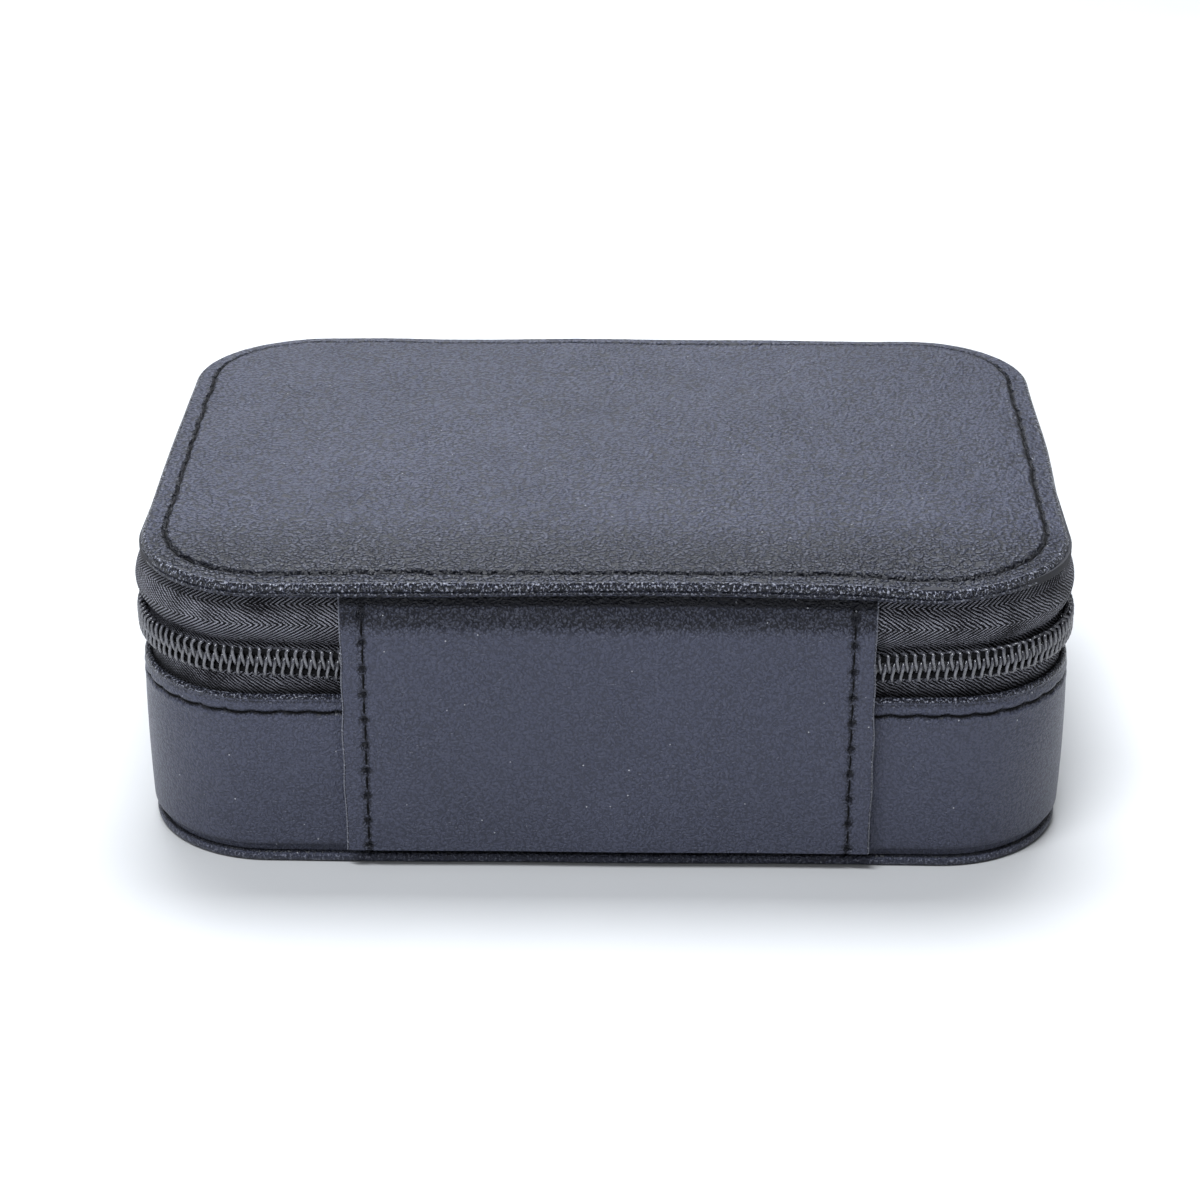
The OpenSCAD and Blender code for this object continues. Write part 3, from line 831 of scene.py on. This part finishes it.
def makeCoil(name, body, node, upDown, shift):
    # a flattened helix: its loops stand across the zip and their heads reach past the middle;
    # each front leg starts from a curled outer bend and kinks on its way to the head
    low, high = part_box(node)
    s, length = zipRun(zipLook["coilEnd"], zipLook["pitch"])
    turns = len(s) - 1
    phase = np.linspace(0, turns, turns * zipLook["perTurn"] + 1)
    angle = 2 * np.pi * phase
    outer = max(abs(high.z - hingeZ), abs(low.z - hingeZ)) - zipLook["wire"] * 0.9
    head = -zipLook["overlap"]
    mid, half = (outer + head) / 2, (outer - head) / 2
    c, n = np.cos(angle), np.sin(angle)
    across = mid + half * squared(c, zipLook["square"])
    depthMid = zipLook["middle"]
    depthHalf = (high.x - case["halfW"]) + depthMid - zipLook["wire"] - 0.35 * mm
    isHead = ramp(-c, 0.3, 1)
    inset = depthMid - depthHalf * squared(n, zipLook["square"]) * (1 - 0.25 * isHead)
    reach = np.interp(np.mod(angle, 2 * np.pi), np.pi * np.array([0, 0.15, 0.38, 0.56, 1, 2]),
                      [-0.5, -0.1, -0.36, -0.05, 0.0, 0.5]) + 0.5
    reach = np.convolve(np.pad(reach + np.floor(phase + 1e-9), 1, "edge"), [0.25, 0.5, 0.25], "valid")
    along = s[0] + (reach + shift) * (s[-1] - s[0]) / turns
    xy, normal = outlineAt(case, along)
    xy = xy - normal * inset[:, None]
    path = np.concatenate([xy, (hingeZ + zipSag(along, length) + upDown * across)[:, None]], -1)
    side = np.stack([-normal[:, 1], normal[:, 0], 0 * along], -1)
    radius = zipLook["wire"] * (1 - 0.15 * isHead)
    radius[[0, -1]] = 0
    piece = surface(name, tube(path, radius, side, 7), False, True, sharp=80)
    place(piece, body, "zip_coil", coilBlack, node)


def makeCoilCore(name, body, upDown):
    # the filler cord inside the loops, sewn down to the tape
    s, length = zipRun(zipLook["coilEnd"], 1.2 * mm)
    xy, normal = outlineAt(case, s)
    xy = xy - normal * 0.35 * mm
    z = (hingeZ + zipSag(s, length)
         + upDown * (1.55 * mm + 0.08 * mm * np.sin(2 * np.pi * s / (2.3 * mm))))
    path = np.concatenate([xy, z[:, None]], -1)
    radius = np.full(len(s), zipLook["core"])
    radius[[0, -1]] = 0
    piece = surface(name, tube(path, radius, (0, 0, 1.0), 8), False, True, sharp=80)
    place(piece, body, "zip_tape", thread)


sliderLook = {"tailHalf": 3.3 * mm, "noseHalf": 4.0 * mm, "edge": 0.3 * mm}


def plateOutline(x0, x1, half0, half1, middleZ, count=96):
    # a closed outline in x and z: rounded ends whose height runs from half0 to half1
    turn = 2 * np.pi * np.arange(count) / count
    x = (x0 + x1) / 2 + (x1 - x0) / 2 * squared(np.cos(turn), 0.42)
    t = (x - x0) / (x1 - x0)
    return np.stack([x, middleZ + (half0 + (half1 - half0) * t) * squared(np.sin(turn), 0.42)], -1)


def standUp(outline, y):
    # an outline in x and z set at one depth
    return np.insert(outline, 1, y, -1)


def pebbleFromOutline(outline, yIn, yOut, edge, crown=0.0):
    # rings of one outline: shrunk at both faces, full between, closed to a point on each face
    centre = outline.mean(0)
    near, far = 1 - edge * np.array([[1], [3]]) / np.abs(outline - centre).max(0)
    rings = [(0, yIn), (far, yIn), (near, yIn), (1, yIn + edge), (1, yOut - edge), (near, yOut),
             (far, yOut + crown * 0.5), (0.5, yOut + crown), (0, yOut + crown * 1.1)]
    points = np.stack([standUp(centre + (outline - centre) * share, y) for share, y in rings], 1)
    return surface("pebble", points, True, False, sharp=40)


def makeSlider(side, suffix):
    # two plates joined by a post, a lip that hooks over the base coil, and a bridge
    node = "slider_" + suffix
    low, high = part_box("slider_right")
    nose, tail = low.x, high.x
    outFace = coilHigh.y + 0.3 * mm
    plateY = outFace + 1.2 * mm
    inFace = tapeHigh.y - 0.7 * mm - 0.3 * mm
    barY = joints["pull_right_swing"]["pos_m"][1]
    tall, short = sliderLook["noseHalf"], sliderLook["tailHalf"]
    outer = plateOutline(nose, tail, tall, short, hingeZ)
    inner = plateOutline(nose, tail, tall * 0.88, short * 0.88, hingeZ)
    post = plateOutline(nose + 0.5 * mm, nose + 1.4 * mm, 0.2 * mm, 0.2 * mm, hingeZ, 24)
    lip = plateOutline(nose + 0.2 * mm, tail - 0.2 * mm, 0.42 * mm, 0.42 * mm,
                       hingeZ - tall + 0.62 * mm, 64)
    pieces = [pebbleFromOutline(outer, outFace, plateY - 0.15 * mm, sliderLook["edge"], 0.15 * mm),
              pebbleFromOutline(inner, inFace - 0.85 * mm, inFace, 0.25 * mm),
              pebbleFromOutline(post, inFace - 0.4 * mm, outFace + 0.4 * mm, 0.1 * mm),
              pebbleFromOutline(lip, outFace - 2.0 * mm, outFace + 0.3 * mm, 0.15 * mm)]
    # the bridge: a strap that rises from the plate, runs level as a round bar and comes down
    t = np.linspace(0, 1, 41)
    x = nose + 1.3 * mm + (tail - nose - 2.6 * mm) * t
    ends = np.clip(1 - np.minimum(t, 1 - t) / 0.24, 0, 1)
    rise = np.sqrt(np.clip(1 - ends ** 2.6, 0, 1))
    y = plateY - 0.25 * mm + (barY - plateY + 0.25 * mm) * rise
    path = np.stack([x, y, np.full_like(x, hingeZ)], -1)
    radius = 0.6 * mm + 0.25 * mm * ends
    radius[[0, -1]] = 0
    pieces.append(surface("bridge", tube(path, radius, (0, 0, 1.0), 16), False, True, sharp=60))
    finishMetal("slider" + suffix.capitalize(), pieces, side, node)


def finishMetal(name, pieces, side, node):
    # one mesh out of several closed ones, mirrored for the left, with its faces outwards again
    work = bmesh.new()
    for piece in pieces:
        work.from_mesh(piece.data)
    mesh = bpy.data.meshes.new(name)
    work.to_mesh(mesh)
    work.free()
    for piece in pieces:
        bpy.data.objects.remove(piece)
    joined = shade(name, mesh, 40)
    if side < 0:
        mesh.transform(Matrix.Scale(-1, 4, Vector((1, 0, 0))))
        mesh.flip_normals()
    place(joined, node, "slider_metal", metal, node)


pullLook = {"thick": 1.2 * mm, "edge": 0.28 * mm, "neck": 1.25 * mm, "tip": 3.3 * mm,
            "length": 24 * mm, "eyeWire": 0.45 * mm, "eyeRadius": 1.13 * mm}


def makePull(side, suffix):
    # a tapered blade with a slot, and the eye at its top that goes round the bridge
    centre = np.array(joints["pull_right_swing"]["pos_m"])
    tipZ = centre[2] - pullLook["length"] + pullLook["tip"]
    topZ = centre[2] - pullLook["eyeRadius"] - 0.2 * mm
    turn = 2 * np.pi * np.arange(128) / 128 + np.pi / 128

    def capsule(top, low, rTop, rLow):
        # two round ends joined by straight sides, as the envelope of circles along a line
        up = np.clip(np.sin(turn) * 6 + 0.5, 0, 1)
        r = rLow + (rTop - rLow) * up
        z = low + (top - low) * up
        return np.stack([r * np.cos(turn), z + r * np.sin(turn)], -1)

    outer = capsule(topZ - 0.4 * mm, tipZ, pullLook["neck"], pullLook["tip"])
    slot = capsule(tipZ + 7 * mm, tipZ, 1.2 * mm, 1.5 * mm)
    h, e = pullLook["thick"] / 2, pullLook["edge"]
    # share of the way from the outer outline to the slot, and depth, once round the blade
    ring = [(0.10, h), (0.5, h + 0.02 * mm), (0.90, h), (1.0, h - e), (1.0, -h + e), (0.90, -h),
            (0.5, -h - 0.02 * mm), (0.10, -h), (0.0, -h + e), (0.0, h - e)]
    points = np.stack([standUp(outer + (slot - outer) * t, y) for t, y in ring], 1)
    points[..., :2] += centre[:2]
    blade = surface("blade", points, True, True, sharp=40)
    a = np.linspace(0, 2 * np.pi, 49)[:-1]
    b = 2 * np.pi * np.arange(16) / 16
    r = pullLook["eyeRadius"] + pullLook["eyeWire"] * np.cos(b)[None, :]
    eye = np.stack([np.broadcast_to(pullLook["eyeWire"] * np.sin(b), (48, 16)),
                    r * np.cos(a)[:, None], r * np.sin(a)[:, None]], -1) + centre
    pieces = [blade, surface("eye", eye, True, True)]
    finishMetal("pull" + suffix.capitalize(), pieces, side, "pull_" + suffix)


wallLook = {"inset": 4.6 * mm, "rollInset": 4.8 * mm}


def makeWallLining():
    # velvet that runs up the wall, over its rounded top and a little way down behind it
    low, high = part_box("base_wall_lining")
    inner, wallIn = case["halfW"] - high.x, wallLook["inset"]
    s, length = around(case, 1.5 * mm)
    mid, r = (inner + wallIn) / 2, (wallIn - inner) / 2
    cap = arc(mid, high.z - 0.45 * mm, r, 180, 0, 13)
    cap[:, 1] = high.z - 0.45 * mm + (cap[:, 1] - high.z + 0.45 * mm) * 0.55
    wall = np.stack([np.full(14, wallIn), np.linspace(high.z - 0.9 * mm, low.z, 14)], -1)
    back = np.array([[wallIn - 0.5 * mm, low.z], [wallIn - 0.5 * mm, high.z - 0.6 * mm],
                     [inner, high.z - 0.6 * mm]])
    profile = np.concatenate([cap, wall, back])
    soft = waves(s, length, 0.1 * mm, 71, 5, 30)[:, None] * (profile[:, 0] > wallIn - 0.1 * mm)
    points = carry(case, s, profile[:, 0] - np.abs(soft), profile[:, 1])
    uv = (np.append(s, length), np.arange(len(profile) + 1) * 1.0 * mm)
    place(surface("wallLining", points, True, True, uv, sharp=55), "base", "velvet", velvet,
          "base_wall_lining")


def makeFloorLining():
    # a sheet that rises a little towards its middle
    low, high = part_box("base_floor_lining")
    shape = insideCase(high)
    s = np.linspace(0, outlineLength(shape), 260, endpoint=False)
    profile = np.array([[16 * mm, high.z + 0.3 * mm], [6 * mm, high.z + 0.2 * mm], [2 * mm, high.z],
                        [0.3 * mm, high.z - 0.1 * mm], [0, low.z], [4 * mm, low.z], [16 * mm, low.z]])
    points = closeIn(carry(shape, s, *profile.T), (0, 0, low.z), 4)
    points = openOut(points, (0, 0, high.z + 0.35 * mm), 7)
    place(surface("floorLining", points, True, False), "base", "velvet", velvet, "base_floor_lining")


def makeBoardInVelvet(name, node, along):
    # a thin upright board in velvet: a long rounded outline with a crowned top edge
    low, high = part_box(node)
    halfL = ((high.x - low.x) if along == "x" else (high.y - low.y)) / 2
    halfT = ((high.y - low.y) if along == "x" else (high.x - low.x)) / 2
    shape = {"halfW": halfL, "halfD": halfT, "corner": halfT * 0.96, "shiftY": 0.0}
    s = np.linspace(0, outlineLength(shape), 220, endpoint=False)
    top = arc(halfT * 0.95, high.z - halfT * 0.9, halfT * 0.9, 180, 92, 7)
    top[:, 0] = top[:, 0] - top[0, 0]
    side = np.stack([np.zeros(12), np.linspace(low.z, high.z - halfT, 12)], -1)
    profile = np.concatenate([[[halfT * 0.5, low.z]], side, top])
    swell = 0.09 * mm * np.sin(np.pi * ramp(profile[:, 1], low.z, high.z))
    points = carry(shape, s, profile[:, 0] - swell, profile[:, 1])
    points = openOut(closeIn(points, (0, 0, high.z), 2), (0, 0, low.z), 1)
    if along == "y":
        points = np.stack([-points[..., 1], points[..., 0], points[..., 2]], -1)
    points[..., 0] += (low.x + high.x) / 2
    points[..., 1] += (low.y + high.y) / 2
    place(surface(name, points, True, False, sharp=60), "base", "velvet", velvet, node)


rollLook = {"crease": 0.16 * mm, "folds": 5, "fillet": 2.2 * mm, "columns": 70}


def makeRingRoll(i):
    # a foam roll in velvet: a cylinder along x whose ends draw in and whose skin has soft folds
    node = "ring_roll_%d" % i
    low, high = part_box(node)
    rng = np.random.default_rng(100 + i)
    r = (high.z - low.z) / 2 - 0.03 * mm
    cy, cz = (low.y + high.y) / 2, (low.z + high.z) / 2
    span = high.x - low.x - 0.2 * mm
    t = np.linspace(0, 1, rollLook["columns"])
    ends = np.minimum(t, 1 - t) * span
    fillet = rollLook["fillet"]
    shrink = np.where(ends < fillet, np.sqrt(np.clip(1 - (1 - ends / fillet) ** 2, 0, 1)), 1)
    radius = (r - fillet) + fillet * shrink
    radius = np.concatenate([[0, radius[0] * 0.5], radius, [radius[-1] * 0.5, 0]])
    x = low.x + 0.1 * mm + span * np.concatenate([[0, 0], t, [1, 1]])
    turn = 2 * np.pi * np.arange(48) / 48
    folds = np.zeros((len(x), len(turn)))
    for fold in range(rollLook["folds"]):
        where, width = rng.uniform(0.1, 0.9) * span + low.x, rng.uniform(1.5, 4) * mm
        tilt, phase = rng.uniform(-0.5, 0.5), rng.uniform(0, 2 * np.pi)
        line = (x[:, None] - where - tilt * r * np.sin(turn)) / width
        folds -= rollLook["crease"] * np.exp(-line ** 2) * (0.5 + 0.5 * np.cos(turn - phase))
    full = np.clip(radius[:, None] + folds * (radius[:, None] > r * 0.6), 0, None)
    points = np.stack([np.broadcast_to(x[:, None], full.shape), cy + full * np.cos(turn),
                       cz + full * np.sin(turn)], -1)
    cornerLimit(points)
    piece = surface("ringRoll%d" % i, points, False, True, sharp=70)
    place(piece, "base", "ring_roll", rollVelvet, node)


def cornerLimit(points):
    # keeps points inside the rounded corners of the box by sliding them towards its middle
    cx, cy = case["halfW"] - case["corner"], case["halfD"] - case["corner"]
    r = case["corner"] - wallLook["rollInset"]
    dx, dy = np.abs(points[..., 0]) - cx, np.abs(points[..., 1]) - cy
    over = (dx > 0) & (dy > 0)
    dist = np.hypot(dx, dy)
    limit = np.sqrt(np.clip(r ** 2 - np.clip(dy, 0, r) ** 2, 0, None)) + cx
    points[..., 0] = np.where(over & (dist > r), np.sign(points[..., 0]) * limit, points[..., 0])


def makeLidLining():
    # a padded sheet with a pressed line near its edge
    low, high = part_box("lid_inner_lining")
    shape = insideCase(high)
    s = around(shape, 1.2 * mm)[0]
    d = np.concatenate([np.linspace(17, 8, 7), np.linspace(7, 1.2, 14)]) * mm
    depth = (1.0 * mm * (1 - np.exp(-np.clip(d - 3.5 * mm, 0, None) / (3 * mm)))
             - 0.35 * mm * bell(d - 3.5 * mm, 0.6 * mm) + 0.25 * mm)
    face = np.stack([d, low.z + 0.55 * mm - depth], -1)
    edge = arc(1.15 * mm, low.z + 1.35 * mm, 1.15 * mm, 265, 185, 6)
    backZ = high.z - 0.1 * mm
    profile = np.concatenate([face, edge, [[0, backZ], [4 * mm, backZ], [20 * mm, backZ]]])
    points = closeIn(carry(shape, s, *profile.T), (0, 0, backZ), 4)
    points = openOut(points, (0, 0, points[0, 0, 2]), 7)
    piece = surface("lidLining", points, True, False, sharp=60)
    place(piece, "lid", "velvet", velvet, "lid_inner_lining")


mirrorLook = {"frameWidth": 8 * mm, "frameCorner": 8 * mm, "glassCorner": 5 * mm}


def makeMirror():
    # a leather frame with a rounded front, and a flat glass with an eased edge
    low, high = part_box("mirror_frame")
    shape = {"halfW": high.x, "halfD": high.y, "corner": mirrorLook["frameCorner"], "shiftY": 0.0}
    s = np.linspace(0, outlineLength(shape), 420, endpoint=False)
    width, backZ = mirrorLook["frameWidth"], high.z - 0.1 * mm
    t = np.linspace(0, 1, 17)
    front = np.stack([t * width, low.z + 0.9 * mm - 0.9 * mm * np.sin(np.pi * t) ** 0.45], -1)
    back = np.array([[width, low.z + 1.0 * mm], [width - 0.2 * mm, backZ], [0.1 * mm, backZ]])
    profile = np.concatenate([front, back])
    points = carry(shape, s, *profile.T)
    # the frame's front is faintly crinkled, with faint painted shade and painted highlights in the
    # crinkles
    marks = np.where(np.arange(len(profile)) < len(front), 0.2, 0)
    uv = (np.append(s, outlineLength(shape)), np.arange(len(profile) + 1) * 0.5 * mm)
    place(surface("mirrorFrame", points, True, True, uv, marks), "lid", "frame_leather", frameLeather,
          "mirror_frame")
    low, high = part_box("mirror_glass")
    shape = {"halfW": high.x, "halfD": high.y, "corner": mirrorLook["glassCorner"], "shiftY": 0.0}
    s = np.linspace(0, outlineLength(shape), 240, endpoint=False)
    profile = np.array([[4 * mm, low.z], [0.4 * mm, low.z], [0, low.z + 0.3 * mm],
                        [0, high.z - 0.1 * mm], [0.3 * mm, high.z], [4 * mm, high.z]])
    points = closeIn(carry(shape, s, *profile.T), (0, 0, high.z), 2)
    points = openOut(points, (0, 0, low.z), 1)
    place(surface("mirrorGlass", points, True, False, sharp=30), "lid", "mirror", mirror,
          "mirror_glass")


def makeSpineLining():
    # velvet on the inner side of the spine, with small ripples at the hinge line
    low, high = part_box("spine_lining_lower")
    z = np.linspace(low.z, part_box("spine_lining_upper")[1].z, 70)[:, None]
    ringX = np.concatenate([np.linspace(low.x, high.x, 60), np.linspace(high.x, low.x, 60)])
    ringOut = np.repeat([0, 1.0], 60)
    ripple = 0.12 * mm * np.sin(z / (1.1 * mm)) * bell(z - hingeZ, 4 * mm)
    y = low.y + 0.05 * mm + ringOut * (high.y - low.y - 0.1 * mm) + ripple + spineLean(z) * 0.8
    points = np.stack([np.broadcast_to(ringX, y.shape), y, np.broadcast_to(z, y.shape)], -1)
    piece = surface("spineLining", points, False, True, caps=True, sharp=60)
    place(piece, None, "velvet", velvet, "spine_lining_lower", "spine_lining_upper")
    bendAtHinge(piece)


print("making the lid")
makeLidCover()
print("making the base")
makeBaseSide()
makeBottomPanel()
print("making the spine")
makeSpine()
makeSpineLining()
print("making the zip")
makeTapes()
makeCoil("lidCoil", "lid", "lid_zip_coil", 1, 0.0)
makeCoil("baseCoil", "base", "base_zip_coil", -1, 0.5)
makeCoilCore("lidCoilCore", "lid", 1)
makeCoilCore("baseCoilCore", "base", -1)
for side, suffix in ((1, "right"), (-1, "left")):
    makeSlider(side, suffix)
    makePull(side, suffix)
print("making the inside")
makeWallLining()
makeFloorLining()
makeBoardInVelvet("partitionBoard", "partition", "y")
makeBoardInVelvet("longDividerBoard", "long_divider", "x")
makeBoardInVelvet("shortDividerBoard", "short_divider", "y")
for number in range(1, 9):
    makeRingRoll(number)
makeLidLining()
makeMirror()


studio = {"azimuth": 0.93, "elevation": 24.8, "distance": 540 * mm, "lens": 87.3,
          "aimZ": 27.6 * mm, "shift": (-0.0068, -0.0167)}


def makeFloor():
    mesh = bpy.data.meshes.new("floor")
    size = 6.0
    mesh.from_pydata([(-size, -size, 0), (size, -size, 0), (size, size, 0), (-size, size, 0)], [],
                     [(0, 1, 2, 3)])
    floor = addObject("floor", mesh)
    r = Recipe("paleFloor")
    grain = r.noise(r.objectPoint(), 40, 2.0, 0.5)
    colour = r.mix(grain, rgb(202, 202, 202), rgb(206, 206, 206))
    cover(floor, r.finish(None, 0, {"Specular IOR Level": 0.1}, Base_Color=colour,
                          Roughness=r.range(grain, 0, 1, 0.9, 0.95)))


def addLight(name, place, target, size, power):
    light = bpy.data.lights.new(name, "AREA")
    light.shape = "RECTANGLE"
    light.size, light.size_y = size
    light.energy = power
    light.color = (0.91, 0.95, 1.0)
    lamp = addObject(name, light)
    lamp.location = place
    lamp.rotation_euler = (Vector(target) - Vector(place)).to_track_quat("-Z", "Y").to_euler()


def makeStudio():
    makeFloor()
    world = bpy.data.worlds.new("studio")
    world.use_nodes = True
    world.node_tree.nodes["Background"].inputs[0].default_value = (0.92, 0.95, 1, 1)
    world.node_tree.nodes["Background"].inputs[1].default_value = 0.2
    bpy.context.scene.world = world
    bpy.context.scene.view_settings.view_transform = "Standard"
    aim = (0, 0, studio["aimZ"])
    addLight("overhead", (0.0, 0.3, 1.0), aim, (0.6, 0.45), 16.2)
    addLight("backSheen", (-0.15, 1.25, 0.5), aim, (0.8, 0.2), 3.4)
    addLight("frontStrip", (-0.2, -0.5, 0.95), aim, (0.5, 0.05), 9.0)
    addLight("leftKey", (-0.8, -0.6, 0.6), aim, (0.1, 0.1), 1.4)
    camera = bpy.data.cameras.new("camera")
    camera.lens = studio["lens"]
    camera.sensor_width = 36
    camera.shift_x, camera.shift_y = studio["shift"]
    camera.clip_start, camera.clip_end = 0.01, 50
    holder = addObject("camera", camera)
    a, e = math.radians(studio["azimuth"]), math.radians(studio["elevation"])
    back = Vector((math.sin(a) * math.cos(e), -math.cos(a) * math.cos(e), math.sin(e)))
    holder.location = Vector(aim) + back * studio["distance"]
    holder.rotation_euler = (-back).to_track_quat("-Z", "Y").to_euler()
    bpy.context.scene.camera = holder


print("setting the studio")
makeStudio()
bpy.context.view_layer.update()
print("done")
